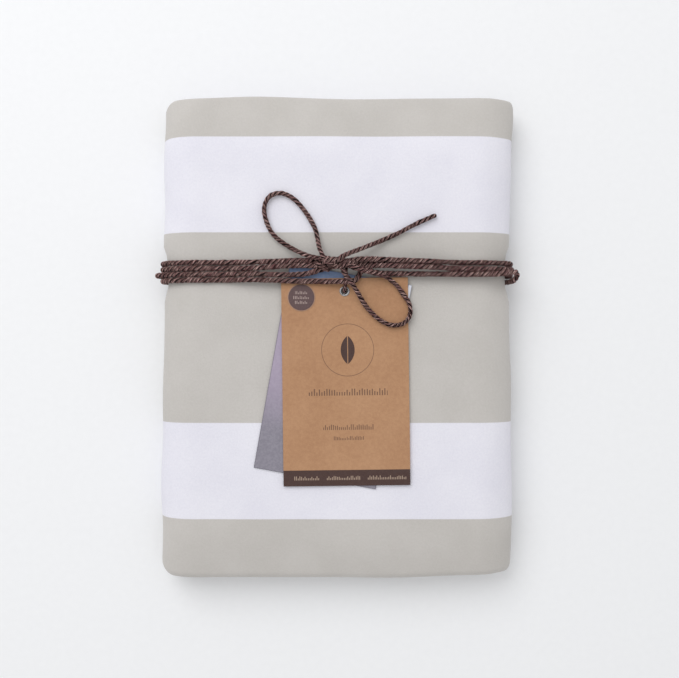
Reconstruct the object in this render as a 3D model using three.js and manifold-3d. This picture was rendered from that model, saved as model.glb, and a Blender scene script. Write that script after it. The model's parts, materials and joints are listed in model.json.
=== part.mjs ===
// A beach towel folded flat, bound with cord tied in a bow, with two hanging cards on a string.
// Millimetres. +X is to the right across the bundle, +Y is towards its top edge, +Z is up.
// The origin is at the middle of the underside.

import * as THREE from 'three';
import { RoundedBoxGeometry } from 'three/addons/geometries/RoundedBoxGeometry.js';
import { mergeVertices } from 'three/addons/utils/BufferGeometryUtils.js';
import Module from 'manifold-3d';

const wasm = await Module();
wasm.setup();

// Folded towel
const towelWidth = 200;
const towelHeight = 275;
const towelThickness = 30;
const edgeRoundX = 22;
const edgeRoundY = 13;
const edgeRoundZ = 13.5;
const planCorner = 6;

// The cord, and how far it draws the towel in where it goes round
const cordDiameter = 3;
const gap = 0.3;
const bindingY = 37;
const strandGap = 0.25;
const strandCount = 4;
const cinchSide = 2.6;
const cinchTop = 1.2;
const cinchMargin = 0.7;
const cinchRamp = 9;
const slackReach = 3.2;

// Hanging cards
const cardThickness = 0.4;
const holeX = 4.4;
const holeY = 25.9;
const frontTagWidth = 70.5;
const frontTagHeight = 115.5;
const frontTagHoleDrop = 7.3;
const frontTagTurn = 0.7;
const backCardWidth = 69;
const backCardHeight = 115.4;
const backCardHoleDrop = 9.9;
const backCardHoleOffset = 1.9;
const backCardTurn = -10.1;
const backCardHoleRadius = 2;
const cardSwingRoomLeft = 46;
const cardSwingRoomRight = 50;
const rampDown = 14;

// Eyelet, sticker and string
const eyeletBore = 3.7;
const eyeletWall = 0.4;
const eyeletFlange = 5.7;
const eyeletRim = 0.35;
const eyeletFit = 0.1;
const stickerDiameter = 15.6;
const stickerThickness = 0.15;
const stickerX = -24.1;
const stickerY = -3.2;
const stringDiameter = 2;

// Knot
const knotWidth = 20;
const knotDepth = 8.5;
const knotHeight = 8.4;
const knotX = 1;
const knotY = 41.5;
const knotRound = 3;

// What follows from the sizes above
const cordRadius = cordDiameter / 2;
const cordSides = 8;
const cornerSteps = 6;
const clearOfCord = cordRadius + gap;
const overCord = cordDiameter + gap;
const strandPitch = cordDiameter + strandGap;
const cinchBottom = cordDiameter + 2 * gap;
const cinchHalf = (strandCount / 2) * strandPitch + cinchMargin;
const waistHalf = towelWidth / 2 - cinchSide;
const waistTop = towelThickness - cinchTop;
const waistRoundX = edgeRoundX * waistHalf / (towelWidth / 2);
const waistRoundZ = edgeRoundZ * (waistTop - cinchBottom) / towelThickness;
const topRunEnd = waistHalf - waistRoundX - 5;
const backCardZ = towelThickness + gap;
const frontTagZ = backCardZ + cardThickness + gap;
const frontTagTop = frontTagZ + cardThickness;
const onWaist = waistTop + clearOfCord;
const underBundle = clearOfCord;
const onTowel = towelThickness + clearOfCord;
const onTag = frontTagTop + clearOfCord;
const overCards = frontTagTop + stickerThickness + clearOfCord;
const stringOverTag = frontTagTop + eyeletRim + gap + stringDiameter / 2;
const overString = stringOverTag + stringDiameter / 2 + clearOfCord;
// the rise of a strand that lies in the valley between two others
const nested = 0.88 * overCord;
const knotZ = overCards - cordRadius + knotHeight / 2;
const knotLeft = knotX - knotWidth / 2 - gap;
const knotRight = knotX + knotWidth / 2 + gap;
const knotFoot = knotY - knotDepth / 2 - gap;
const knotHead = knotY + knotDepth / 2 + gap;

const at = (x, y, z) => new THREE.Vector3(x, y, z);
const radians = THREE.MathUtils.degToRad;
const strandY = (index) => bindingY + ((strandCount - 1) / 2 - index) * strandPitch;

// A smooth line through points, stepped at the points themselves.
class Route extends THREE.CatmullRomCurve3 {
  getUtoTmapping(u) {
    return u;
  }
}

function tube(points, diameter) {
  const section = new THREE.Shape();
  for (let side = 0; side < cordSides; side++) {
    const angle = 2 * Math.PI * side / cordSides;
    const move = side ? 'lineTo' : 'moveTo';
    section[move](diameter / 2 * Math.cos(angle), diameter / 2 * Math.sin(angle));
  }
  const extrudePath = new Route(points);
  return new THREE.ExtrudeGeometry(section, { steps: points.length - 1, extrudePath, bevelEnabled: false });
}

function toSolid(geometry) {
  const bare = geometry.clone();
  bare.deleteAttribute('normal');
  bare.deleteAttribute('uv');
  const merged = mergeVertices(bare, 1e-4);
  const vertProperties = new Float32Array(merged.attributes.position.array);
  const triVerts = new Uint32Array(merged.index.array);
  return new wasm.Manifold(new wasm.Mesh({ numProp: 3, vertProperties, triVerts }));
}

function toGeometry(solid) {
  const { vertProperties, triVerts } = solid.getMesh();
  const geometry = new THREE.BufferGeometry();
  geometry.setAttribute('position', new THREE.BufferAttribute(vertProperties, 3));
  geometry.setIndex(new THREE.BufferAttribute(triVerts, 1));
  geometry.computeVertexNormals();
  return geometry;
}

// A loose length of cord whose ends are round, so that they turn at the knot without catching on it.
function looseCord(points) {
  const ball = new THREE.SphereGeometry(cordRadius, cordSides, 6);
  const ends = [points[0], points.at(-1)].map((end) => ball.clone().translate(end.x, end.y, end.z));
  const length = toSolid(tube(points, cordDiameter));
  return toGeometry(ends.reduce((solid, end) => solid.add(toSolid(end)), length));
}

// Grid lines across the towel: close together round the edges, and at the inner places given.
function gridLines(half, round, inner) {
  const steps = 6;
  const reach = (i) => round * Math.sin(radians(90 * i / steps));
  const edge = Array.from({ length: steps + 1 }, (_, i) => half - round + reach(i));
  return [...edge.map((v) => -v).reverse(), ...inner, ...edge];
}

// The share of its full height that the towel has near an edge: 1 inside, down to its upright side.
function heightNear(x, y) {
  const past = (v, half, round) => Math.max(0, (Math.abs(v) - half + round) / round);
  const side = past(x, towelWidth / 2, edgeRoundX);
  const end = past(y, towelHeight / 2, edgeRoundY);
  const outward = Math.min(1, Math.pow(side ** 4 + end ** 4, 1 / 4));
  const upright = 1 - 2 * edgeRoundZ / towelThickness;
  return upright + (1 - upright) * Math.sqrt(1 - outward ** 2);
}

// How much of the cinch there is at this height: 1 under the cord, 0 away from it.
function cinchAt(y) {
  return 1 - THREE.MathUtils.smoothstep(Math.abs(y - bindingY), cinchHalf, cinchHalf + cinchRamp);
}

function foldedTowel() {
  const half = at(towelWidth / 2, towelHeight / 2, towelThickness / 2);
  const core = half.clone().sub(at(planCorner, planCorner, 0));
  const ramp = [1, 0.7, 0.5, 0.3, 0].map((share) => cinchHalf + share * cinchRamp);
  const cinchLines = [...ramp.map((v) => bindingY - v), ...ramp.reverse().map((v) => bindingY + v)];
  const lines = [
    gridLines(half.x, edgeRoundX, [-half.x / 2, 0, half.x / 2]),
    gridLines(half.y, edgeRoundY, [-half.y / 2, ...cinchLines]),
    [-half.z, half.z],
  ];
  const geometry = new THREE.BoxGeometry(1, 1, 1, ...lines.map((line) => line.length - 1));
  const positions = geometry.attributes.position;
  const point = new THREE.Vector3();
  for (let i = 0; i < positions.count; i++) {
    point.fromBufferAttribute(positions, i);
    const pick = (line, axis) => line[Math.round((point.getComponent(axis) + 0.5) * (line.length - 1))];
    const [x, y, z] = lines.map(pick);
    const inner = at(x, y, 0).clamp(core.clone().negate(), core);
    point.set(x, y, 0).sub(inner).clampLength(0, planCorner).add(inner);
    const cinch = cinchAt(point.y);
    const height = (z * heightNear(x, y) + half.z) / towelThickness;
    const low = cinch * cinchBottom;
    const high = towelThickness - cinch * cinchTop;
    positions.setXYZ(i, point.x * (1 - cinch * cinchSide / half.x), point.y, low + height * (high - low));
  }
  geometry.computeVertexNormals();
  return geometry;
}

// Down one side of the bundle: -1 is the left side and +1 the right. A strand that starts on top of
// another has a lift, which it loses on the way down; a slack one stands out from the towel.
function downSide(side, { topY, y, lift = 0, slack = 0 }) {
  const points = [];
  for (const [corner, from] of [[waistTop - waistRoundZ, 90], [cinchBottom + waistRoundZ, 0]]) {
    for (let i = 0; i <= cornerSteps; i++) {
      const angle = radians(from - 90 * i / cornerSteps);
      const down = (90 - from) / 90 + i / cornerSteps;
      const rise = down < 1 ? lift * Math.cos(radians(90 * down)) : 0;
      const out = waistRoundX + clearOfCord + rise + slack * Math.cos(angle) ** 2;
      const up = waistRoundZ + clearOfCord + rise;
      const strand = THREE.MathUtils.lerp(topY, y, Math.min(1, down));
      const x = side * (waistHalf - waistRoundX + out * Math.cos(angle));
      points.push(at(x, strand, corner + up * Math.sin(angle)));
    }
  }
  return points;
}

// Up the left side, then in along the top to where the cards' room starts.
function upLeft(index, slack = 0) {
  const y = strandY(index);
  const side = downSide(-1, { topY: y, y, slack }).reverse();
  return [...side, at(-cardSwingRoomLeft - rampDown, y, onWaist), at(-cardSwingRoomLeft, y, overCards)];
}

// Top runs at the right, from the knot outwards.
const upperRight = [
  at(knotRight, 43.2, overCards + nested),
  at(22, 43.3, overCards + nested),
  at(36, 42.7, overCards + nested),
  at(cardSwingRoomRight, 42.2, overCards + nested),
  at(cardSwingRoomRight + rampDown, 41.9, onWaist + 0.5 * nested),
  at(topRunEnd, 41.8, onWaist),
];
const hiddenRight = [
  at(knotRight, 40.6, overCards),
  at(22, 41.5, overCards),
  at(36, 41.1, overCards),
  at(cardSwingRoomRight, 40.4, overCards),
  at(cardSwingRoomRight + rampDown, 38.4, onWaist),
  at(topRunEnd, 37.4, onWaist),
];
const middleRight = [
  at(20, 39.9, overCards + overCord),
  at(28, 39.7, overCards + nested),
  at(38, 39.4, overCards + nested),
  at(cardSwingRoomRight, 38.9, overCards + overCord),
  at(cardSwingRoomRight + rampDown, 38.5, onWaist + overCord),
  at(topRunEnd, 38.4, onWaist + nested),
];
const lowerRight = [
  at(knotRight, 39.2, overCards + 5.3),
  at(15.5, 38.4, overCards + 4.6),
  at(20, 36.9, overCards + 2.2),
  at(25, 35.9, overCards + 0.4),
  at(32, 35.5, overCards),
  at(cardSwingRoomRight, 35.3, overCards),
  at(cardSwingRoomRight + rampDown, 35.2, onWaist + 0.9 * nested),
  at(topRunEnd, 35.1, onWaist + nested),
];

// The slack eye that stands out at the right edge before the strand goes down the side.
function rightEye() {
  const side = waistHalf + clearOfCord;
  const tip = side + slackReach;
  const y = strandY(3);
  return [
    at(side - 11, 35.3, onWaist + nested),
    at(side - 5, 36, onWaist + 2.6),
    at(side - 1, 36.5, onWaist + 1.9),
    at(tip - 1.1, 36.2, onWaist + 1),
    at(tip, 34.7, onWaist),
    at(tip - 0.9, 33.1, onWaist - 1.1),
    at(side + 0.9, 32.4, onWaist - 3),
    at(side, y, onWaist - 7),
    ...downSide(1, { topY: y, y }).slice(cornerSteps + 1),
  ];
}

function bottomRun(index) {
  return [0.6, 0, -0.6].map((share) => at(share * waistHalf, strandY(index), underBundle));
}

const intoKnotLeft = (y) => [at(-30, y - 0.3, overCards), at(-18, y, overCards), at(knotLeft, y, overCards)];

function upperTurn() {
  const y = strandY(0);
  const right = downSide(1, { topY: y, y });
  const left = [...upLeft(0), ...intoKnotLeft(43)];
  return tube([...upperRight, ...right, ...bottomRun(0), ...left], cordDiameter);
}

// One strand of this turn is hidden under the others at the right.
function innerTurn() {
  const right = downSide(1, { topY: 36.7, y: strandY(2) });
  const intoKnotFoot = [
    at(-30, 35.4, overCards),
    at(-16, 35.2, overCards),
    at(-9, 34.6, overCards),
    at(-5.2, 34.8, overCards),
    at(-4, knotFoot - 1, overCards),
    at(-4, knotFoot, overCards),
  ];
  const left = upLeft(2, slackReach);
  return tube([...hiddenRight, ...right, ...bottomRun(2), ...left, ...intoKnotFoot], cordDiameter);
}

// Two turns of one length: knot, lower right, round the back, lower left, across under the bow,
// middle right, round the back again, and up the left side into the knot.
function doubleTurn() {
  const acrossUnderBow = [
    at(-26, 31.5, overCards),
    at(-12, 31.2, overCards),
    at(-4, 31, overCards + 0.8),
    at(1, 31, overString - 0.5),
    at(4.8, 30.9, overString),
    at(8.6, 30.9, overString - 0.8),
    at(11.2, 32.8, overCards + 0.5),
    at(13, 35.8, overCards),
    at(15, 38, overCards + 1.3),
  ];
  const right = downSide(1, { topY: 38.1, y: strandY(1), lift: nested });
  const first = [...lowerRight, ...rightEye(), ...bottomRun(3), ...upLeft(3), ...acrossUnderBow];
  const second = [...middleRight, ...right, ...bottomRun(1), ...upLeft(1), ...intoKnotLeft(39.6)];
  return tube([...first, ...second], cordDiameter);
}

// Up through both cards' holes, then over the front tag's top edge to the knot.
function tagString() {
  const start = towelThickness - cinchTop * cinchAt(holeY) + gap;
  return tube([
    at(holeX, holeY, start),
    at(holeX, holeY, frontTagTop),
    at(holeX, holeY + 0.5, stringOverTag - 0.4),
    at(holeX + 0.1, holeY + 1.6, stringOverTag),
    at(5, 31, stringOverTag),
    at(5.2, knotFoot, stringOverTag),
  ], stringDiameter);
}

// The bow's upper loop, which lies on the towel up and to the left of the knot.
function upperLoop() {
  const root = overCards + 3.2;
  return looseCord([
    at(knotLeft - cordRadius + 0.3, 45.3, root),
    at(-16.2, 46.6, root - 1.4),
    at(-22.6, 49.1, root - 3),
    at(-29, 52.5, onTowel + 0.4),
    at(-33.8, 55.8, onTowel),
    at(-37.2, 60.3, onTowel),
    at(-39.5, 65.9, onTowel),
    at(-40.3, 71.6, onTowel),
    at(-38.9, 76.6, onTowel),
    at(-35.5, 79.6, onTowel),
    at(-30.6, 80.3, onTowel),
    at(-25.9, 78.5, onTowel),
    at(-22, 75.4, onTowel),
    at(-17.9, 70.6, onTowel),
    at(-14.6, 65.6, onTowel),
    at(-11.9, 60.2, onTowel),
    at(-10.4, 55.6, onTowel + 1),
    at(-9.4, 51, onTowel + 3),
    at(-7.6, knotHead + cordRadius, root),
  ]);
}

// The bow's lower loop, which lies on the front tag.
function lowerLoop() {
  const root = overString + overCord;
  const rootY = knotFoot - cordRadius;
  return looseCord([
    at(9.2, rootY, root),
    at(12.5, 35.2, root - 0.4),
    at(16, 34.6, root - 1.4),
    at(20.4, 33.7, root - 3),
    at(24.8, 32.7, onTag + 1.5),
    at(29.2, 31.4, onTag + 0.5),
    at(33.4, 28, onTag),
    at(37.1, 23.8, onTag),
    at(39.9, 19.6, onTag),
    at(40.8, 15.7, onTag),
    at(40.2, 11.6, onTag),
    at(37.4, 8.3, onTag),
    at(33.6, 7, onTag),
    at(29.6, 7.2, onTag),
    at(25.6, 8.8, onTag),
    at(22.1, 11.3, onTag),
    at(18.7, 14.6, onTag + 0.2),
    at(15.8, 18, onTag + 0.7),
    at(13.5, 21.6, onTag + 1.7),
    at(11.4, 25.2, onTag + 3.2),
    at(8.9, 29, root - 0.8),
    at(6, 33, root),
    at(4.2, rootY, root),
  ]);
}

// The free end of the cord, which lies on the towel up and to the right of the knot.
function freeEnd() {
  return looseCord([
    at(knotRight, knotHead + cordRadius, overCards + 3.6),
    at(15, 49.4, overCards + 2.2),
    at(20.5, 51.4, overCards - 0.2),
    at(28.2, 54.4, onTowel),
    at(35.1, 58.2, onTowel),
    at(44.8, 63.3, onTowel),
    at(54.6, 67.9, onTowel),
  ]);
}

// A card with one hole, drawn about the hole: its top edge is above the hole by the hole's drop.
function card(width, height, holeDrop, holeOffset, holeRadius) {
  const left = -width / 2 - holeOffset;
  const outline = new THREE.Shape()
    .moveTo(left, holeDrop - height)
    .lineTo(left + width, holeDrop - height)
    .lineTo(left + width, holeDrop)
    .lineTo(left, holeDrop)
    .closePath();
  outline.holes.push(new THREE.Path().absarc(0, 0, holeRadius, 0, 2 * Math.PI, true));
  const settings = { depth: cardThickness, bevelEnabled: false, curveSegments: 12 };
  return new THREE.ExtrudeGeometry(outline, settings);
}

function eyelet() {
  const bore = eyeletBore / 2;
  const rim = cardThickness + eyeletRim;
  const seat = cardThickness + 0.05;
  const profile = [
    [bore, 0], [bore + eyeletWall, 0], [bore + eyeletWall, seat], [eyeletFlange / 2, seat],
    [eyeletFlange / 2 - 0.15, rim], [bore + 0.15, rim], [bore, rim - 0.15], [bore, 0],
  ];
  const ring = new THREE.LatheGeometry(profile.map(([r, z]) => new THREE.Vector2(r, z)), 32);
  return ring.rotateX(Math.PI / 2);
}

function sticker() {
  const radius = stickerDiameter / 2;
  const disc = new THREE.CylinderGeometry(radius, radius, stickerThickness, 40);
  return disc.rotateX(Math.PI / 2).translate(stickerX, stickerY, cardThickness + stickerThickness / 2);
}

function knot() {
  const lump = new RoundedBoxGeometry(knotWidth, knotDepth, knotHeight, 3, knotRound);
  return lump.translate(knotX, knotY, knotZ);
}

function piece(name, geometry, color, roughness, metalness = 0) {
  const mesh = new THREE.Mesh(geometry, new THREE.MeshStandardMaterial({ color, roughness, metalness }));
  mesh.name = name;
  return mesh;
}

const cordColor = 0x58443f;

function swinging(height, turn, ...pieces) {
  const hung = new THREE.Group();
  hung.position.set(holeX, holeY, height);
  hung.rotation.z = radians(turn);
  return hung.add(...pieces);
}

const eyeletSeat = eyeletBore / 2 + eyeletWall + eyeletFit;
const frontCard = card(frontTagWidth, frontTagHeight, frontTagHoleDrop, 0, eyeletSeat);
const backCardHole = [backCardHoleDrop, -backCardHoleOffset, backCardHoleRadius];
const backCard = card(backCardWidth, backCardHeight, ...backCardHole);

const towelBundle = new THREE.Group();
towelBundle.add(
  piece('folded_towel', foldedTowel(), 0xc5c1bd, 0.95),
  piece('cord_upper_turn', upperTurn(), cordColor, 0.8),
  piece('cord_inner_turn', innerTurn(), cordColor, 0.8),
  piece('cord_double_turn', doubleTurn(), cordColor, 0.8),
  piece('bow_knot', knot(), cordColor, 0.8),
  piece('bow_upper_loop', upperLoop(), cordColor, 0.8),
  piece('bow_lower_loop', lowerLoop(), cordColor, 0.8),
  piece('cord_free_end', freeEnd(), cordColor, 0.8),
  piece('tag_string', tagString(), cordColor, 0.8),
  swinging(
    frontTagZ, frontTagTurn,
    piece('front_tag_card', frontCard, 0xb98e6c, 0.9),
    piece('tag_eyelet', eyelet(), 0xd8d8d8, 0.3, 1),
    piece('round_sticker', sticker(), 0x5c4646, 0.7),
  ),
  swinging(backCardZ, backCardTurn, piece('back_card', backCard, 0x8f9bb4, 0.6)),
);

export default towelBundle;
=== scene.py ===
"""The looks of a folded, striped towel that is tied with twisted cord, with two hanging cards.

Metres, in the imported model's frame: +X is right across the bundle, +Y towards its top edge, +Z up.
"""

import json
import math

import bpy
import numpy as np
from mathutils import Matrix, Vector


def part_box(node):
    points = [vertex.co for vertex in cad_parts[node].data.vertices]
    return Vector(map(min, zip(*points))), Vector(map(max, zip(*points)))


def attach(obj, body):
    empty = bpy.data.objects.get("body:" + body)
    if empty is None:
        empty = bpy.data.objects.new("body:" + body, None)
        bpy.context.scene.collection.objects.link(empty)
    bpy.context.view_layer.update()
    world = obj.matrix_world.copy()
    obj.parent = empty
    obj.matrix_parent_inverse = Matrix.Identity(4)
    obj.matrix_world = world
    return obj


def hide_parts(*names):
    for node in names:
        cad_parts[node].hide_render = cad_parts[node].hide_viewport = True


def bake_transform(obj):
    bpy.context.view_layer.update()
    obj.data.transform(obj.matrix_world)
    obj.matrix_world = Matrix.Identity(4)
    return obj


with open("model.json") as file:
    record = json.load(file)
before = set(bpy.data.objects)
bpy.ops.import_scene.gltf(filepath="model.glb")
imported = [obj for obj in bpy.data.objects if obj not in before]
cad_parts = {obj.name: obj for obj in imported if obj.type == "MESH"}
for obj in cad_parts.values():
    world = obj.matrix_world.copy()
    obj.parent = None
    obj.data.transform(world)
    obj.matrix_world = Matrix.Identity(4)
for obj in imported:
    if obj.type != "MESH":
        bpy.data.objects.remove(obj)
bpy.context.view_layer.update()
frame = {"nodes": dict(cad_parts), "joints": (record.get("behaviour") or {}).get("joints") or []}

MM = 0.001
GAP = 0.0003

# The camera looks straight down on the bundle.
CAMERA_X = 0.00155
CAMERA_Y = -0.00069
CAMERA_HEIGHT = 0.520
CAMERA_LENS = 46.6

# The towel's cloth, cut flat, its layers, and its stripes along its length
CLOTH_WIDTH = 0.8
CLOTH_LENGTH = 1.6
LAYER_PITCH = 1.25 * MM
CLOTH_THICKNESS = 1.0 * MM
LAYERS_IN_PANEL = 6
PANEL = LAYERS_IN_PANEL * LAYER_PITCH
STRIPE_PERIOD = 0.160
STRIPE_WHITE = 0.0537
STRIPE_CENTRE = 0.0857

# The cord, where it goes round the towel, and how far it draws it in
CORD_DIAMETER = 0.003
CORD_PITCH = 0.0084
STRING_DIAMETER = 0.002
BINDING_Y = 0.037
STRAND_PITCH = 0.00325
STRAND_COUNT = 4
CINCH_SIDE = 0.0026
CINCH_TOP = 0.0012
CINCH_MARGIN = 0.0007
CINCH_RAMP = 0.009
SLACK_REACH = 0.0032  # of the left side's slack strand
EYE_REACH = 0.0012  # of the slack eye on the right
CORNER_STEPS = 6
EDGE_ROUND_X = 0.022  # the CAD towel's rounded edges
EDGE_ROUND_Z = 0.0135

# Places in the frame
towel_low, towel_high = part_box("folded_towel")
towel_half = towel_high.x
towel_end = towel_high.y
towel_top = towel_high.z
knot_low, knot_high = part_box("bow_knot")
front_tag_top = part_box("front_tag_card")[1].z
sticker_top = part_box("round_sticker")[1].z
eyelet_low, eyelet_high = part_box("tag_eyelet")
hole = (eyelet_low + eyelet_high) / 2

cord_radius = CORD_DIAMETER / 2
clear_of_cord = cord_radius + GAP
over_cord = CORD_DIAMETER + GAP
nested = 0.88 * over_cord
cinch_bottom = CORD_DIAMETER + 2 * GAP
cinch_half = STRAND_COUNT / 2 * STRAND_PITCH + CINCH_MARGIN
waist_half = towel_half - CINCH_SIDE
waist_top = towel_top - CINCH_TOP
waist_round_x = EDGE_ROUND_X * waist_half / towel_half
waist_round_z = EDGE_ROUND_Z * (waist_top - cinch_bottom) / towel_top
top_run_end = waist_half - waist_round_x - 0.005
on_waist = waist_top + clear_of_cord
under_bundle = clear_of_cord
on_towel = towel_top + clear_of_cord
on_tag = front_tag_top + clear_of_cord
over_cards = sticker_top + clear_of_cord
string_over_tag = eyelet_high.z + GAP + STRING_DIAMETER / 2
over_string = string_over_tag + STRING_DIAMETER / 2 + clear_of_cord
knot_left = knot_low.x - GAP
knot_right = knot_high.x + GAP
knot_foot = knot_low.y - GAP


# ------------------------------ camera

def make_camera():
    data = bpy.data.cameras.new("camera")
    data.lens = CAMERA_LENS
    camera = bpy.data.objects.new("camera", data)
    camera.location = (CAMERA_X, CAMERA_Y, CAMERA_HEIGHT)
    bpy.context.scene.collection.objects.link(camera)
    bpy.context.scene.camera = camera


# ------------------------------ small helpers

def link_mesh(name, vertices, faces, material):
    mesh = bpy.data.meshes.new(name)
    mesh.from_pydata(np.asarray(vertices).tolist(), [], faces)
    mesh.polygons.foreach_set("use_smooth", [True] * len(mesh.polygons))
    mesh.materials.append(material)
    piece = bpy.data.objects.new(name, mesh)
    bpy.context.scene.collection.objects.link(piece)
    return piece


def store(piece, name, values):
    """A number for each vertex, which the materials read by its name."""
    attribute = piece.data.attributes.new(name, "FLOAT", "POINT")
    attribute.data.foreach_set("value", np.asarray(values, np.float32))


def unit(vectors):
    return vectors / np.linalg.norm(vectors, axis=-1, keepdims=True)


def smoothstep(value, low, high):
    share = np.clip((value - low) / (high - low), 0, 1)
    return share * share * (3 - 2 * share)


class Waves:
    """Smooth made-up unevenness: a seeded sum of plane waves, about -1 to 1."""

    def __init__(self, seed, wavelength, count=14, stretch=(1, 1, 1)):
        random = np.random.default_rng(seed)
        direction = unit(random.normal(size=(count, 3)))
        size = random.uniform(0.6, 1.6, (count, 1))
        self.numbers = direction * size * 2 * math.pi / wavelength / np.array(stretch)
        self.phases = random.uniform(0, 2 * math.pi, count)
        self.scale = 1.2 / math.sqrt(count)

    def __call__(self, x, y=0, z=0):
        x, y, z = np.broadcast_arrays(x, y, z)
        points = np.stack([x, y, z], axis=-1)
        return np.sin(points @ self.numbers.T + self.phases).sum(-1) * self.scale


# ------------------------------ cord routes

def down_side(side, top_y, y, lift=0.0, slack=0.0):
    """Down one side of the bundle, -1 left and +1 right, round its upper and its lower corner."""
    points = []
    for corner, start in ((waist_top - waist_round_z, 90), (cinch_bottom + waist_round_z, 0)):
        for step in range(CORNER_STEPS + 1):
            angle = math.radians(start - 90 * step / CORNER_STEPS)
            down = (90 - start) / 90 + step / CORNER_STEPS
            rise = lift * math.cos(math.radians(90 * down)) if down < 1 else 0
            out = waist_round_x + clear_of_cord + rise + slack * math.cos(angle) ** 2
            up = waist_round_z + clear_of_cord + rise
            x = side * (waist_half - waist_round_x + out * math.cos(angle))
            points.append((x, top_y + (y - top_y) * min(1, down), corner + up * math.sin(angle)))
    return points


def strand_y(index):
    return BINDING_Y + ((STRAND_COUNT - 1) / 2 - index) * STRAND_PITCH


def up_left(index, slack=0.0):
    """Up the left side, then in along the top over the cards' room."""
    y = strand_y(index)
    side = down_side(-1, y, y, slack=slack)[::-1]
    return side + [(-0.060, y, on_waist), (-0.046, y, over_cards)]


def bottom_run(index):
    return [(share * waist_half, strand_y(index), under_bundle) for share in (0.6, 0, -0.6)]


def into_knot_left(y):
    return [(-0.030, y - 0.0003, over_cards), (-0.018, y, over_cards), (knot_left, y, over_cards)]


def upper_turn():
    y = strand_y(0)
    top_right = [
        (knot_right, 0.0432, over_cards + nested),
        (0.022, 0.0433, over_cards + nested),
        (0.036, 0.0427, over_cards + nested),
        (0.050, 0.0422, over_cards + nested),
        (0.064, 0.0419, on_waist + 0.5 * nested),
        (top_run_end, 0.0418, on_waist),
    ]
    right = down_side(1, y, y)
    return top_right + right + bottom_run(0) + up_left(0) + into_knot_left(0.0428)


def inner_turn():
    top_right = [
        (knot_right, 0.0406, over_cards),
        (0.022, 0.0415, over_cards),
        (0.036, 0.0411, over_cards),
        (0.050, 0.0404, over_cards),
        (0.064, 0.0384, on_waist),
        (top_run_end, 0.0374, on_waist),
    ]
    into_knot_foot = [
        (-0.030, 0.0349, over_cards),
        (-0.0162, 0.0356, over_cards),
        (-0.0085, 0.0379, over_cards + 0.0003),
        (-0.0042, 0.0389, over_cards + 0.0010),
        (0.0004, 0.0396, over_cards + 0.0018),
    ]
    right = down_side(1, 0.0367, strand_y(2))
    return top_right + right + bottom_run(2) + up_left(2, SLACK_REACH) + into_knot_foot


def right_eye():
    """The slack eye that stands out at the right edge before the strand goes down the side."""
    side = waist_half + clear_of_cord
    tip = side + EYE_REACH
    y = strand_y(3)
    return [
        (side - 0.011, 0.0353, on_waist + nested),
        (side - 0.005, 0.0360, on_waist + 0.0026),
        (side - 0.001, 0.0365, on_waist + 0.0019),
        (tip - 0.0008, 0.0362, on_waist + 0.001),
        (tip, 0.0347, on_waist),
        (tip - 0.0004, 0.0333, on_waist - 0.0011),
        (side + 0.0004, 0.0325, on_waist - 0.003),
        (side, y, on_waist - 0.007),
    ] + down_side(1, y, y)[CORNER_STEPS + 1:]


def double_turn():
    """Two turns of one length, which crosses under the bow between them."""
    lower_right = [
        (0.0100, 0.0392, over_cards + 0.0030),
        (0.0145, 0.0379, over_cards + 0.0024),
        (0.020, 0.0365, over_cards + 0.0010),
        (0.026, 0.0357, over_cards),
        (0.032, 0.0355, over_cards),
        (0.050, 0.0353, over_cards),
        (0.064, 0.0352, on_waist + 0.9 * nested),
        (top_run_end, 0.0351, on_waist + nested),
    ]
    across_under_bow = [
        (-0.026, 0.0315, over_cards),
        (-0.012, 0.0312, over_cards),
        (-0.004, 0.0310, over_cards + 0.0008),
        (0.001, 0.0310, over_string - 0.0005),
        (0.0048, 0.0309, over_string),
        (0.0086, 0.0309, over_string - 0.0008),
        (0.0112, 0.0328, over_cards + 0.0005),
        (0.013, 0.0358, over_cards),
        (0.015, 0.0378, over_cards),
    ]
    middle_right = [
        (0.020, 0.0396, over_cards + 0.0018),
        (0.028, 0.0397, over_cards + nested),
        (0.038, 0.0394, over_cards + nested),
        (0.050, 0.0389, over_cards + over_cord),
        (0.064, 0.0385, on_waist + over_cord),
        (top_run_end, 0.0384, on_waist + nested),
    ]
    right = down_side(1, 0.0381, strand_y(1), lift=nested)
    first = lower_right + right_eye() + bottom_run(3) + up_left(3) + across_under_bow
    second = middle_right + right + bottom_run(1) + up_left(1) + into_knot_left(0.0400)
    return first + second


def tag_string():
    through_cards = towel_top + GAP
    return [
        (hole.x, hole.y, through_cards),
        (hole.x, hole.y, front_tag_top),
        (hole.x, hole.y + 0.0005, string_over_tag - 0.0004),
        (hole.x + 0.0001, hole.y + 0.0016, string_over_tag),
        (0.005, 0.031, string_over_tag),
        (0.0052, knot_foot, string_over_tag),
    ]


def upper_loop():
    """The bow's upper loop, which lies on the towel up and to the left of the knot."""
    root = over_cards + 0.0032
    return [
        (-0.0113, 0.0441, root),
        (-0.0155, 0.0451, root - 0.0008),
        (-0.0198, 0.0469, root - 0.002),
        (-0.0250, 0.0496, root - 0.0036),
        (-0.0295, 0.0524, on_towel + 0.0002),
        (-0.0338, 0.0558, on_towel),
        (-0.0372, 0.0603, on_towel),
        (-0.0395, 0.0659, on_towel),
        (-0.0403, 0.0716, on_towel),
        (-0.0389, 0.0766, on_towel),
        (-0.0355, 0.0796, on_towel),
        (-0.0306, 0.0803, on_towel),
        (-0.0259, 0.0785, on_towel),
        (-0.0220, 0.0754, on_towel),
        (-0.0179, 0.0706, on_towel),
        (-0.0146, 0.0656, on_towel),
        (-0.0119, 0.0602, on_towel),
        (-0.0106, 0.0549, on_towel + 0.001),
        (-0.0097, 0.0500, on_towel + 0.003),
        (-0.0082, 0.0462, root),
    ]


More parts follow.
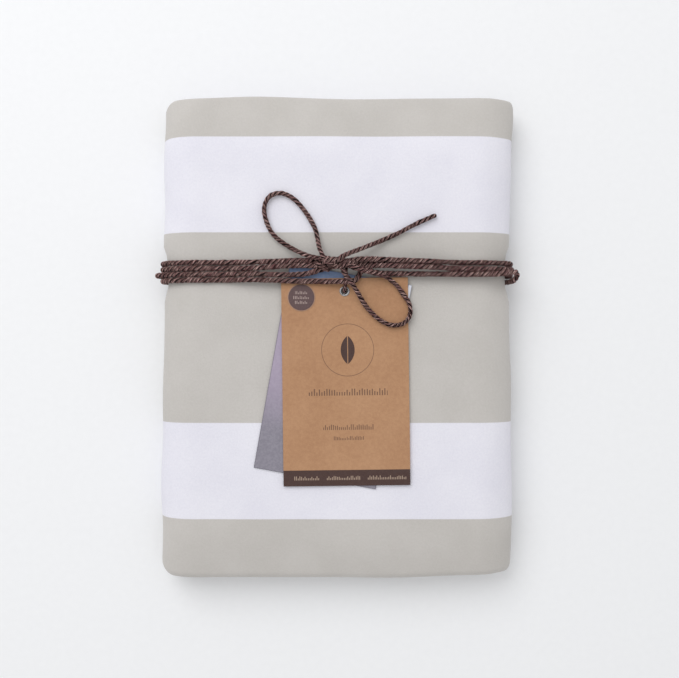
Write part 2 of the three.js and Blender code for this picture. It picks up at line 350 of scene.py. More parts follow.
def lower_loop():
    """The bow's lower loop, which lies on the front tag."""
    root = over_string + over_cord
    root_y = knot_foot - cord_radius
    return [
        (0.0092, 0.0384, root - 0.0002),
        (0.0135, 0.0371, root),
        (0.0198, 0.0356, root - 0.0014),
        (0.0262, 0.0342, root - 0.0030),
        (0.0300, 0.0317, on_tag + 0.0011),
        (0.0336, 0.0286, on_tag + 0.0002),
        (0.0371, 0.0238, on_tag),
        (0.0399, 0.0196, on_tag),
        (0.0408, 0.0157, on_tag),
        (0.0402, 0.0116, on_tag),
        (0.0374, 0.0083, on_tag),
        (0.0336, 0.0070, on_tag),
        (0.0296, 0.0072, on_tag),
        (0.0256, 0.0088, on_tag),
        (0.0221, 0.0113, on_tag),
        (0.0187, 0.0146, on_tag + 0.0002),
        (0.0158, 0.0180, on_tag + 0.0007),
        (0.0135, 0.0216, on_tag + 0.0017),
        (0.0114, 0.0252, on_tag + 0.0032),
        (0.0089, 0.0290, root - 0.0008),
        (0.0060, 0.0330, root),
        (0.0042, root_y, root),
    ]


def free_end():
    """The free end of the cord, which lies on the towel up and to the right of the knot."""
    return [
        (0.0120, 0.0484, over_cards + 0.0035),
        (0.0170, 0.0506, over_cards + 0.0015),
        (0.0227, 0.0530, over_cards - 0.0004),
        (0.0283, 0.0554, on_towel + 0.0001),
        (0.0340, 0.0580, on_towel),
        (0.0439, 0.0632, on_towel),
        (0.0554, 0.0683, on_towel),
    ]


# ------------------------------ twisted cord

STRANDS = 3
STRAND_SIDES = 14
RINGS_IN_PITCH = 20
STRAND_OFFSET = 0.270  # of a strand's middle from the cord's, in cord diameters
STRAND_THICK = 0.240  # half a strand's section, outwards
STRAND_WIDE = 0.275  # and across, where the strands press on each other
TURN_FULLNESS = 1.02  # the cord's width in the turns, in cord diameters
BOW_FULLNESS = 0.88  # the cord of the bow is a little thinner
LAY_WANDER = 0.07  # unevenness of the lay, in turns
CORD_UNEVENNESS = 0.04  # of the cord's width
STRAND_UNEVENNESS = 0.06  # of each strand's width
BARE_END = 0.42  # how much of a bare end is rounded, in cord diameters
BARE_TIP = 0.985  # how much of that rounding is there, before the flat tip
CURVE_STEPS = 14


def between(near, far, near_at, far_at, at):
    return ((far_at - at) * near + (at - near_at) * far) / (far_at - near_at)


def smooth_route(points, spacing):
    """Evenly spaced points along a centripetal Catmull-Rom curve through the given ones."""
    points = np.array(points, float)
    nodes = np.vstack([2 * points[0] - points[1], points, 2 * points[-1] - points[-2]])
    dense = []
    for a, b, c, d in zip(nodes, nodes[1:], nodes[2:], nodes[3:]):
        steps = [math.sqrt(np.linalg.norm(q - p)) for p, q in ((a, b), (b, c), (c, d))]
        k0, k1, k2, k3 = np.cumsum([0, *steps])
        at = np.linspace(k1, k2, CURVE_STEPS, endpoint=False)[:, None]
        ab = between(a, b, k0, k1, at)
        bc = between(b, c, k1, k2, at)
        cd = between(c, d, k2, k3, at)
        dense.append(between(between(ab, bc, k0, k2, at), between(bc, cd, k1, k3, at), k1, k2, at))
    dense = np.vstack([*dense, points[-1]])
    along = np.concatenate([[0], np.cumsum(np.linalg.norm(np.diff(dense, axis=0), axis=1))])
    even = np.linspace(0, along[-1], round(along[-1] / spacing))
    return even, np.stack([np.interp(even, along, dense[:, axis]) for axis in range(3)], axis=1)


def frames_along(path):
    """Two directions across the path at each point, which turn with it and don't twist about it."""
    tangents = unit(np.gradient(path, axis=0))
    no_route_starts_this_way = (0.3, 0.2, 1.0)
    start = np.cross(tangents[0], no_route_starts_this_way)
    normals = [start / np.linalg.norm(start)]
    for tangent in tangents[1:]:
        turned = normals[-1] - tangent * (normals[-1] @ tangent)
        normals.append(turned / np.linalg.norm(turned))
    normals = np.array(normals)
    return normals, np.cross(tangents, normals)


def tube_faces(rings, first):
    """The faces of one strand's closed tube, whose vertices are numbered from first on."""
    last = first + (rings - 1) * STRAND_SIDES
    faces = []
    for near in range(first, last, STRAND_SIDES):
        far = near + STRAND_SIDES
        for j in range(STRAND_SIDES):
            k = (j + 1) % STRAND_SIDES
            faces.append((near + j, far + j, far + k, near + k))
    faces.append(tuple(range(first, first + STRAND_SIDES)))
    faces.append(tuple(reversed(range(last, last + STRAND_SIDES))))
    return faces


def twisted(points, diameter, seed, fullness=TURN_FULLNESS, bare_end=False):
    """Three strands laid up to the left round a route: vertices, faces, fibre facts and the path."""
    pitch = CORD_PITCH * diameter / CORD_DIAMETER
    along, path = smooth_route(points, pitch / RINGS_IN_PITCH)
    normals, binormals = frames_along(path)
    lay = along / pitch + LAY_WANDER * Waves(seed + 11, 0.012)(along)
    swell = fullness + CORD_UNEVENNESS * Waves(seed + 12, 0.009)(along)
    if bare_end:
        left = (along[-1] - along) / (BARE_END * diameter)
        swell = swell * np.sqrt(1 - np.clip(1 - left, 0, BARE_TIP) ** 2)
    around = 2 * math.pi * np.arange(STRAND_SIDES) / STRAND_SIDES
    vertices, faces, facts = [], [], []
    for strand in range(STRANDS):
        turn = 2 * math.pi * (strand / STRANDS - lay)[:, None]
        outward = np.cos(turn) * normals + np.sin(turn) * binormals
        middle = path + STRAND_OFFSET * diameter * swell[:, None] * outward
        across = unit(np.cross(np.gradient(middle, axis=0), outward))
        uneven = 1 + STRAND_UNEVENNESS * Waves(seed + strand, 0.006)(along)
        size = diameter * (swell * uneven)[:, None, None]
        ring = (
            STRAND_THICK * np.cos(around)[None, :, None] * outward[:, None]
            + STRAND_WIDE * np.sin(around)[None, :, None] * across[:, None]
        )
        vertices.append((middle[:, None] + size * ring).reshape(-1, 3))
        faces += tube_faces(len(path), strand * len(path) * STRAND_SIDES)
        length, side = np.broadcast_arrays(along[:, None], around[None, :])
        tone = 7.3 * seed + 2.1 * strand
        facts.append(np.stack([length, side, np.full(length.shape, tone)], -1).reshape(-1, 3))
    return np.vstack(vertices), faces, np.vstack(facts), path


def cord_piece(name, lengths, material):
    """One piece of one or more lengths of cord, each as twisted() gives it."""
    vertices, faces, facts, count = [], [], [], 0
    for part_vertices, part_faces, part_facts, _ in lengths:
        vertices.append(part_vertices)
        facts.append(part_facts)
        faces += [tuple(count + i for i in face) for face in part_faces]
        count += len(part_vertices)
    piece = link_mesh(name, np.vstack(vertices), faces, material)
    for column, fact in enumerate(("fibre_along", "fibre_around", "fibre_tone")):
        store(piece, fact, np.vstack(facts)[:, column])
    return piece


# ------------------------------ the folded towel

SPINE_REACH = 0.022  # how far the rounded left side stands out past the flat part
TONGUE_START = 0.0777  # where the upper half of the right side starts to bend down
TONGUE_BEND = math.radians(40)
TONGUE_END = 0.0934
HEM_UPPER = 0.088  # where the two hems lie at the right, under the tongue
HEM_LOWER = 0.091
LAYER_END = 0.1195  # how far towards the bundle's lower end the cloth's own ends reach, inside
END_DROOP = 0.21
DROOP_START = 0.098
HEM_WIDTH = 0.010
HEM_FULLNESS = 1.2  # a hem's thickness, in cloth thicknesses
SPINE_CORNER = 0.008  # the corners' radii, seen from above
HEM_CORNER = 0.0035
LINE_STEP = 0.0002  # between the points that a folded line is worked out at
SHARP_TURN = 8  # radians in a metre: past this a folded line gets its fine spacing

# How much shorter than the top panel the cloth lies, in millimetres, at places across its width
SHORTER_AT = (0, 0.18, 0.22, 0.4, 0.44, 0.6, 0.8)
SHORTER_BY = (1.6, 1.2, 0, 0, 2.2, 2.4, 1.4)

# Unevenness of the lying cloth
BROAD_WAVES = 0.00028
PUCKERS = 0.00016
END_CREASES = 0.00012
EDGE_WANDER = 0.0006

# How the outline differs from a true rectangle
LOW_LEFT_SPREAD = 0.0014
TOP_RIGHT_SPREAD = 0.0018
RIGHT_DRAWN_IN = 0.0014
TOP_DRAWN_IN = 0.0019
TOP_HUMP = 0.0010
TOP_HUMP_X = -0.047
UPPER_LEFT_DRAWN_IN = 0.0007
LOW_DRAWN_IN = 0.0010
LOW_RIGHT_DRAWN_IN = 0.0012


def arc(centre, reach, radius, first, last, steps=40):
    """A stretch of an ellipse, from one angle to another, in degrees."""
    angles = np.radians(np.linspace(first, last, steps))
    return np.stack([centre[0] + reach * np.cos(angles), centre[1] + radius * np.sin(angles)], 1)


def line_of(*stretches):
    """Joins stretches into one line: its length so far, its points and the direction at each."""
    points = np.vstack(stretches)
    keep = np.concatenate([[True], np.linalg.norm(np.diff(points, axis=0), axis=1) > 1e-7])
    points = points[keep]
    steps = np.linalg.norm(np.diff(points, axis=0), axis=1)
    along = np.concatenate([[0], np.cumsum(steps)])
    even = np.arange(0, along[-1], LINE_STEP)
    fine = np.stack([np.interp(even, along, points[:, axis]) for axis in (0, 1)], 1)
    ways = unit(np.gradient(fine, axis=0))
    return even, fine, ways


def across_folds():
    """The cloth's width in four panels, seen from the bundle's end: right, and up."""
    half = PANEL / 2
    middle = towel_top / 2
    spine = towel_low.x + SPINE_REACH
    inner = spine - 0.002
    levels = [middle + half * k for k in (-3, -1, 1, 3)]
    return line_of(
        [(HEM_LOWER, levels[0])],
        arc((spine, middle), SPINE_REACH - half, 3 * half, 270, 90),
        arc((TONGUE_END, middle + PANEL), 0.0045, half, 90, -90),
        arc((inner, middle), half, half, 90, 270),
        [(HEM_UPPER, levels[1])],
    )


def along_folds():
    """The cloth's length in six layers: along the bundle, and outwards in a panel's thickness."""
    pitch = LAYER_PITCH
    top, bottom = towel_end - CLOTH_THICKNESS / 2, towel_low.y + CLOTH_THICKNESS / 2
    return line_of(
        [(-LAYER_END, 0.5 * pitch)],
        arc((top - 0.0026, -pitch), 0.0020, 1.5 * pitch, 90, -90),
        arc((bottom + 0.0034, 0), 0.0034, 2.5 * pitch, 270, 90),
        arc((top - 0.0012, 2 * pitch), 0.0012, 0.5 * pitch, 90, -90),
        arc((bottom + 0.0056, 0), 0.0020, 1.5 * pitch, 90, 270),
        arc((top - 0.0052, -pitch), 0.0010, 0.5 * pitch, -90, 90),
        [(-LAYER_END, -0.5 * pitch)],
    )


def picked(along, ways, coarse, fine, shown=None):
    """Places along a folded line: close together where it turns, and where it shows."""
    turning = np.linalg.norm(np.gradient(ways, along, axis=0), axis=1)
    spacing = np.where(turning > SHARP_TURN, fine, coarse)
    if shown is not None:
        spacing = np.minimum(spacing, shown)
    count = np.cumsum(1 / spacing) * (along[1] - along[0])
    wanted = np.linspace(count[0], count[-1], int(count[-1]))
    return np.unique(np.searchsorted(count, wanted).clip(0, len(along) - 1))


def cinch_at(y):
    return 1 - smoothstep(np.abs(y - BINDING_Y), cinch_half, cinch_half + CINCH_RAMP)


def bend_right_side(x, z):
    """The upper half of the right side bends down over the hems below it."""
    middle = towel_top / 2
    beyond = np.maximum(x - TONGUE_START, 0)
    turn = np.minimum(beyond / (1.5 * middle), TONGUE_BEND)
    rest = beyond - turn * 1.5 * middle
    height = np.maximum(z, middle)
    bent_x = np.minimum(x, TONGUE_START) + height * np.sin(turn) + rest * np.cos(turn)
    bent_z = height * np.cos(turn) - rest * np.sin(turn)
    share = np.clip(z / middle, 0, 1)
    return x + (bent_x - x) * share, bent_z * share


def settle(x, y, z, shorter):
    """Moves the flat-folded cloth to how it lies, with drooping ends and drawn in by the cord."""
    x, z = bend_right_side(x, z)
    # the lower panels end a little inside the top one
    reach = np.abs(y) / towel_end
    y = y * (1 - (shorter / towel_end) * reach ** 3)
    # corners are wide at the spine and tight at the right
    for side, radius in ((-1, SPINE_CORNER), (1, HEM_CORNER)):
        near = np.clip((side * x - towel_half + radius) / radius, 0, 0.999)
        drawn = radius * (1 - np.sqrt(1 - near ** 2)) / towel_end
        y = y * (1 - drawn * reach ** 10)
    # the ends droop
    droop = np.clip((np.abs(y) - DROOP_START) / (towel_end - DROOP_START), 0, 1) ** 2
    z = z * (1 - END_DROOP * droop)
    # the cord draws it in, up to the cord's own surface
    cinch = cinch_at(y)
    low = cinch * cinch_bottom
    high = towel_top - cinch * (CINCH_TOP - GAP)
    waist_x = waist_half - waist_round_x
    beyond = np.maximum(x - waist_x, 0)
    under = np.clip(1 - z / (towel_top / 2), 0, 1)
    pull = 1 - np.sqrt(1 - 0.95 * under ** 2)
    x = x - cinch * pull * beyond
    x = x * (1 - cinch * CINCH_SIDE / towel_half)
    z = low + z / towel_top * (high - low)
    return x, y, z


def lie_askew(x, y):
    """Spreads and draws in the outline, which isn't a true rectangle."""
    left, right = smoothstep(-x, 0.04, 0.1), smoothstep(x, 0.04, 0.1)
    top, low = smoothstep(y, 0.116, towel_end), smoothstep(-y, 0.104, towel_end)
    moved_x = x + left * (UPPER_LEFT_DRAWN_IN - LOW_LEFT_SPREAD * smoothstep(-y, -0.010, 0.060))
    drawn = RIGHT_DRAWN_IN * np.exp(-((y - 0.036) / 0.045) ** 2)
    moved_x += right * (TOP_RIGHT_SPREAD * smoothstep(y, 0.106, 0.128) - drawn)
    hump = TOP_HUMP * np.exp(-((x - TOP_HUMP_X) / 0.022) ** 2)
    moved_y = y + top * (hump - TOP_DRAWN_IN)
    moved_y += low * (LOW_DRAWN_IN + LOW_RIGHT_DRAWN_IN * smoothstep(x, 0.02, 0.09))
    return moved_x, moved_y


def uneven_cloth(x, y, z):
    """Soft unevenness of the lying cloth, and small puckers beside the cord."""
    inside = smoothstep(towel_half - np.abs(x), 0, 0.03) * smoothstep(towel_end - np.abs(y), 0, 0.02)
    height = z / towel_top
    broad = Waves(3, 0.075, stretch=(1, 1.4, 3))(x, y, z)
    creases = Waves(5, 0.018, stretch=(1, 4, 3))(x, y, z)
    near_cord = np.exp(-((np.abs(y - BINDING_Y) - cinch_half) / 0.012) ** 2)
    near_end = smoothstep(-y, 0.07, 0.13)
    z = z + height * inside * (BROAD_WAVES * broad - BROAD_WAVES)
    z = z + height * inside * creases * (PUCKERS * near_cord + END_CREASES * near_end)
    side = Waves(8, 0.05, stretch=(3, 1, 1))(x, y, z)
    x = x - EDGE_WANDER * smoothstep(np.abs(x), 0.07, 0.1) * np.sign(x) * (1 + side) / 2
    end = Waves(9, 0.06, stretch=(1, 3, 1))(x, y, z)
    y = y - EDGE_WANDER * smoothstep(np.abs(y), 0.11, towel_end) * np.sign(y) * (1 + end) / 2
    return *lie_askew(x, y), z


def cloth_faces(rows, columns):
    """The faces of a cloth's two sides, each of rows by columns vertices, and of its rim."""
    index = np.arange(rows * columns).reshape(rows, columns)
    quads = np.stack([index[:-1, :-1], index[1:, :-1], index[1:, 1:], index[:-1, 1:]], -1).reshape(-1, 4)
    faces = [tuple(quad) for quad in quads.tolist()]
    faces += [tuple(quad) for quad in (quads[:, ::-1] + rows * columns).tolist()]
    rim = np.concatenate([index[0], index[1:, -1], index[-1, -2::-1], index[-2:0:-1, 0]]).tolist()
    for here, after in zip(rim, rim[1:] + rim[:1]):
        faces.append((here, after, after + rows * columns, here + rows * columns))
    return faces


def folded_cloth():
    """The cloth's width and length as they are folded, at the places that its vertices stand."""
    across, across_points, across_ways = across_folds()
    along, along_points, along_ways = along_folds()
    shown_across = across_points[:, 1] > towel_top / 2 + 1.4 * PANEL
    shown_across |= (across_points[:, 0] < -0.09) | (across_points[:, 0] > 0.08)
    shown_along = (along_points[:, 1] > 2.4 * LAYER_PITCH) | (np.abs(along_points[:, 0]) > 0.13)
    u = picked(across, across_ways, 0.011, 0.0014, np.where(shown_across, 0.004, 0.011))
    v = picked(along, along_ways, 0.012, 0.0006, np.where(shown_along, 0.0045, 0.012))
    cloth_u = across[u] / across[-1] * CLOTH_WIDTH
    cloth_v = along[v] / along[-1] * CLOTH_LENGTH
    return (cloth_u, across_points[u], across_ways[u]), (cloth_v, along_points[v], along_ways[v])


def make_towel(material):
    (cloth_u, place, way), (cloth_v, lying, lying_way) = folded_cloth()
    # a panel's own outward direction, seen from the bundle's end
    out_x, out_z = -way[:, 1][:, None], way[:, 0][:, None]
    y, layer = lying[:, 0][None], lying[:, 1][None]
    way_y, way_out = lying_way[:, 0][None], lying_way[:, 1][None]
    hem = np.minimum(cloth_u, CLOTH_WIDTH - cloth_u)[:, None] < HEM_WIDTH
    half = CLOTH_THICKNESS / 2 * np.where(hem, HEM_FULLNESS, 1)
    shorter = np.interp(cloth_u, SHORTER_AT, SHORTER_BY)[:, None] * MM
    sheets = []
    for side in (1, -1):
        depth = layer + side * half * way_y
        x = place[:, 0][:, None] + depth * out_x
        z = place[:, 1][:, None] + depth * out_z
        reach = y - side * half * way_out
        sheets.append(np.stack(uneven_cloth(*settle(x, reach, z, shorter)), -1))
    rows, columns = len(cloth_u), len(cloth_v)
    vertices = np.concatenate([sheet.reshape(-1, 3) for sheet in sheets])
    piece = link_mesh("folded_towel_cloth", vertices, cloth_faces(rows, columns), material)
    outer_layer = lying[:, 1] > 2.49 * LAYER_PITCH
    white_v = np.interp(STRIPE_CENTRE, lying[outer_layer, 0], cloth_v[outer_layer])
    store(piece, "cloth_u", np.tile(np.repeat(cloth_u, columns), 2))
    store(piece, "cloth_v", np.tile(np.tile(cloth_v - white_v, rows), 2))
    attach(piece, "towel_bundle")
    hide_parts("folded_towel")


# ------------------------------ materials

def srgb(red, green, blue):
    """A colour given as 0 to 255 on a screen."""
    shares = [value / 255 for value in (red, green, blue)]
    return (*[s / 12.92 if s <= 0.04045 else ((s + 0.055) / 1.055) ** 2.4 for s in shares], 1.0)


class Finish:
    """A material, with its shader's plain settings by name, and short ways to add nodes to it."""

    def __init__(self, name, **settings):
        self.material = bpy.data.materials.new(name)
        self.material.use_nodes = True
        self.tree = self.material.node_tree
        self.shader = self.tree.nodes["Principled BSDF"]
        for setting, value in settings.items():
            socket = setting.replace("_", " ").title().replace("Ior", "IOR")
            self.shader.inputs[socket].default_value = value

    def give(self, socket, value):
        if isinstance(value, bpy.types.NodeSocket):
            self.tree.links.new(value, socket)
        else:
            socket.default_value = value

    def node(self, kind, inputs=(), **settings):
        made = self.tree.nodes.new(kind)
        for name, value in settings.items():
            setattr(made, name, value)
        for name, value in dict(inputs).items():
            self.give(made.inputs[name], value)
        return made

    def math(self, operation, a, b=0.0):
        return self.node("ShaderNodeMath", {0: a, 1: b}, operation=operation).outputs[0]

    def plus(self, a, b):
        return self.math("ADD", a, b)

    def minus(self, a, b):
        return self.math("SUBTRACT", a, b)

    def times(self, a, b):
        return self.math("MULTIPLY", a, b)

    def off(self, value, middle):
        return self.math("ABSOLUTE", self.minus(value, middle))

    def fact(self, name):
        return self.node("ShaderNodeAttribute", attribute_name=name).outputs["Fac"]

    def place(self):
        return self.node("ShaderNodeTexCoord").outputs["Object"]

    def noise(self, size, vector=None, detail=2.0, roughness=0.5, distortion=0.0):
        """Noise whose blotches are about this size, in metres."""
        inputs = {"Vector": vector or self.place(), "Scale": 1 / size, "Detail": detail}
        inputs.update({"Roughness": roughness, "Distortion": distortion})
        return self.node("ShaderNodeTexNoise", inputs).outputs["Fac"]

    def ramp(self, value, low, high, start=0.0, stop=1.0):
        inputs = {"Value": value, "From Min": low, "From Max": high, "To Min": start, "To Max": stop}
        return self.node("ShaderNodeMapRange", inputs, interpolation_type="SMOOTHSTEP").outputs[0]

    def mix(self, share, first, second):
        made = self.node("ShaderNodeMix", data_type="RGBA")
        for index, value in ((0, share), (6, first), (7, second)):
            self.give(made.inputs[index], value)
        return made.outputs[2]

    def colour(self, value):
        self.give(self.shader.inputs["Base Color"], value)

    def roughness(self, value):
        self.give(self.shader.inputs["Roughness"], value)

    def bump(self, *heights):
        """Bump from (height, depth in metres) pairs, laid over each other."""
        normal = None
        for height, depth in heights:
            inputs = {"Height": height, "Distance": depth, "Strength": 1.0}
            if normal is not None:
                inputs["Normal"] = normal
            normal = self.node("ShaderNodeBump", inputs).outputs[0]
        self.give(self.shader.inputs["Normal"], normal)


STITCH_INSET = 0.008  # of the hem's stitches from the cloth's edge
STITCH_PITCH = 0.0028
GREY = srgb(203, 199, 195)
GREY_DARK = srgb(191, 187, 182)
WHITE = srgb(238, 237, 245)
WHITE_DARK = srgb(226, 225, 236)


def towel_finish():
    """Brushed microfibre with broad printed stripes, and a stitched hem along its edges."""
    cloth = Finish("striped_microfibre", roughness=0.92, sheen_weight=0.25, sheen_roughness=0.45)
    v = cloth.fact("cloth_v")
    period = cloth.math("DIVIDE", v, STRIPE_PERIOD)
    # where in a period of the stripes, -0.5 to 0.5, with 0 in the middle of the white
    centred = cloth.minus(cloth.math("FRACT", cloth.plus(period, 20.5)), 0.5)
    nap = cloth.noise(0.0005, detail=3)
    edge = cloth.plus(cloth.math("ABSOLUTE", centred), cloth.times(nap, 0.0015))
    half = STRIPE_WHITE / STRIPE_PERIOD / 2
    white = cloth.ramp(edge, half - 0.0012, half + 0.0026, 1.0, 0.0)
    blotch = cloth.ramp(cloth.noise(0.030, detail=4), 0.3, 0.7)
    fleck = cloth.ramp(cloth.noise(0.0011, detail=4, roughness=0.7), 0.25, 0.75)
    tone = cloth.plus(cloth.times(blotch, 0.45), cloth.times(fleck, 0.55))
    grey = cloth.mix(tone, GREY_DARK, GREY)
    pale = cloth.mix(tone, WHITE_DARK, WHITE)
    u = cloth.fact("cloth_u")
    inset = cloth.math("MINIMUM", u, cloth.minus(CLOTH_WIDTH, u))
    stitch_line = cloth.ramp(cloth.off(inset, STITCH_INSET), 0.0004, 0.0009, 1, 0)
    dashes = cloth.math("SINE", cloth.times(v, 2 * math.pi / STITCH_PITCH))
    dashes = cloth.ramp(dashes, -0.6, -0.2)
    stitches = cloth.times(stitch_line, dashes)
    printed = cloth.mix(white, grey, pale)
    cloth.colour(cloth.mix(cloth.times(stitches, 0.35), printed, GREY_DARK))
    cloth.roughness(cloth.ramp(fleck, 0, 1, 0.86, 0.97))
    cloth.bump((nap, 0.00008), (fleck, 0.00006), (stitches, 0.0003))
    return cloth.material


YARN_SLANT = 420.0  # how fast the yarns turn round their strand, in radians to a metre


def cord_finish():
    """Twisted cord: fine yarns along each strand, wine brown, with a painted highlight on each strand's
    crest and painted shade in the grooves.
    """
    cord = Finish("twisted_cord", roughness=0.8, specular_ior_level=0.12)
    along, around, tone = (cord.fact(f"fibre_{name}") for name in ("along", "around", "tone"))
    # yarns lie at a slant to their strand, so the pattern turns round it along the length
    slant = cord.plus(around, cord.times(along, YARN_SLANT))
    yarn_inputs = {"X": cord.times(cord.math("COSINE", slant), 1.4)}
    yarn_inputs["Y"] = cord.times(cord.math("SINE", slant), 1.4)
    yarn_inputs["Z"] = cord.plus(cord.times(along, 90.0), tone)
    yarns = cord.node("ShaderNodeCombineXYZ", yarn_inputs).outputs[0]
    streak = cord.noise(0.45, yarns, detail=3, roughness=0.65)
    ridges = cord.math("SINE", cord.times(slant, 5.0))
    patches = cord.node("ShaderNodeCombineXYZ", {"X": along, "Y": tone}).outputs[0]
    patch = cord.noise(0.009, patches)
    base = cord.mix(cord.ramp(patch, 0.35, 0.65), srgb(120, 78, 79), srgb(123, 92, 87))
    # the pale colour of the yarn streaks is a painted highlight, small glints of light along the yarns
    light = cord.mix(cord.ramp(streak, 0.48, 0.64), base, srgb(234, 197, 190))
    yarn = cord.mix(cord.ramp(streak, 0.34, 0.46), srgb(34, 17, 18), light)
    # painted light: a highlight along each strand's outer crest, fading to painted shade (the near-black
    # colour) in the grooves between the strands
    painted_crest_light = cord.ramp(cord.math("COSINE", around), 0.34, 0.90)
    cord.colour(cord.mix(painted_crest_light, srgb(17, 7, 9), yarn))
    cord.bump((streak, 0.00030), (ridges, 0.00012))
    return cord.material


class Print(Finish):
    """A printed card or label: marks are drawn in its own flat coordinates, in metres from its hole."""

    def __init__(self, name, origin, turn, **settings):
        super().__init__(name, **settings)
        inputs = {"Vector": self.place(), "Location": origin, "Rotation": (0, 0, math.radians(turn))}
        flat = self.node("ShaderNodeMapping", inputs, vector_type="TEXTURE").outputs[0]
        self.x, self.y, _ = self.node("ShaderNodeSeparateXYZ", {"Vector": flat}).outputs

    def near(self, value, middle, half, soft=0.00007):
        """1 within half of the middle, and 0 past it."""
        return self.ramp(self.off(value, middle), half - soft, half + soft, 1, 0)

    def distance(self, x, y):
        across, up = self.minus(self.x, x), self.minus(self.y, y)
        squares = self.plus(self.math("POWER", across, 2), self.math("POWER", up, 2))
        return self.math("SQRT", squares)

    def both(self, *masks):
        made = masks[0]
        for mask in masks[1:]:
            made = self.times(made, mask)
        return made

    def either(self, *masks):
        made = masks[0]
        for mask in masks[1:]:
            made = self.math("MAXIMUM", made, mask)
        return made

    def ring(self, x, y, radius, half):
        return self.near(self.distance(x, y), radius, half)

    def leaf(self, x, y, width, height):
        """Two crossing circles' common part, with a fine gap down its middle."""
        radius = (height ** 2 + width ** 2) / (4 * width)
        offset = radius - width / 2
        sides = [self.near(self.distance(x + way * offset, y), 0, radius) for way in (-1, 1)]
        vein = self.minus(1, self.near(self.x, x, 0.00022))
        return self.both(*sides, vein)

    def ticks(self, x, y, half_width, height, pitch):
        """A row of small upright strokes of made-up heights on one foot, where small print would be."""
        cell = self.math("DIVIDE", self.x, pitch)
        number = {"W": self.math("FLOOR", cell)}
        chance = self.node("ShaderNodeTexWhiteNoise", number, noise_dimensions="1D").outputs["Value"]
        tall = self.times(self.ramp(chance, 0.2, 0.8, 0.5, 1.0), height)
        up = self.minus(self.y, y - height / 2)
        under_top = self.ramp(self.minus(up, tall), -0.00005, 0.00005, 1, 0)
        over_foot = self.ramp(up, -0.00005, 0.00005)
        stroke = self.near(self.math("FRACT", cell), 0.5, 0.22, 0.05)
        return self.both(under_top, over_foot, stroke, self.near(self.x, x, half_width))


KRAFT = srgb(189, 146, 111)
KRAFT_DARK = srgb(170, 126, 92)
PRINT_BROWN = srgb(64, 46, 46)
HOLE_DROP = 0.0073
TAG_HEIGHT = 0.1155
FRONT_TAG_TURN = 0.7
BAND_HEIGHT = 0.0088
EMBLEM = (0.0013, -0.0327)
BACK_CARD_WIDTH = 0.069
BACK_CARD_HEIGHT = 0.1154
BACK_CARD_HOLE_DROP = 0.0099
BACK_CARD_HOLE_OFFSET = 0.0019
BACK_CARD_TURN = -10.1


def kraft_finish():
    tag = Print("kraft_card", tuple(hole), FRONT_TAG_TURN, roughness=0.85)
    mottle = tag.ramp(tag.noise(0.0018, detail=5, roughness=0.7), 0.3, 0.7)
    broad = tag.ramp(tag.noise(0.030, detail=3), 0.3, 0.7)
    tone = tag.plus(tag.times(mottle, 0.6), tag.times(broad, 0.4))
    board = tag.mix(tone, KRAFT_DARK, KRAFT)
    fibres = tag.noise(0.0007, detail=4, roughness=0.8, distortion=1.5)
    board = tag.mix(tag.ramp(fibres, 0.66, 0.74, 0, 0.55), board, srgb(122, 84, 58))
    board = tag.mix(tag.ramp(fibres, 0.34, 0.26, 0, 0.45), board, srgb(214, 178, 143))
    foot = HOLE_DROP - TAG_HEIGHT
    band = tag.near(tag.y, foot, BAND_HEIGHT)
    thin_print = tag.either(
        tag.ring(*EMBLEM, 0.0145, 0.00014),
        tag.ticks(0.0010, -0.0561, 0.0222, 0.0038, 0.00140),
        tag.ticks(0.0012, -0.0756, 0.0140, 0.0030, 0.00110),
        tag.ticks(0.0013, -0.0817, 0.0086, 0.0022, 0.00090),
    )
    solid_print = tag.either(band, tag.leaf(*EMBLEM, 0.0078, 0.0160))
    worn = tag.ramp(fibres, 0.2, 0.8, 0.9, 1.0)
    inked = tag.mix(tag.times(thin_print, 0.7), board, PRINT_BROWN)
    inked = tag.mix(tag.times(solid_print, worn), inked, PRINT_BROWN)
    words = tag.either(*[
        tag.ticks(x, foot + BAND_HEIGHT / 2, half, 0.0022, 0.00095)
        for x, half in ((-0.0223, 0.0069), (-0.0020, 0.0094), (0.0222, 0.0109))
    ])
    tag.colour(tag.mix(tag.times(words, 0.75), inked, srgb(196, 172, 152)))
    tag.roughness(tag.ramp(mottle, 0, 1, 0.78, 0.92))
    tag.bump((mottle, 0.00003), (fibres, 0.00004))
    return tag.material


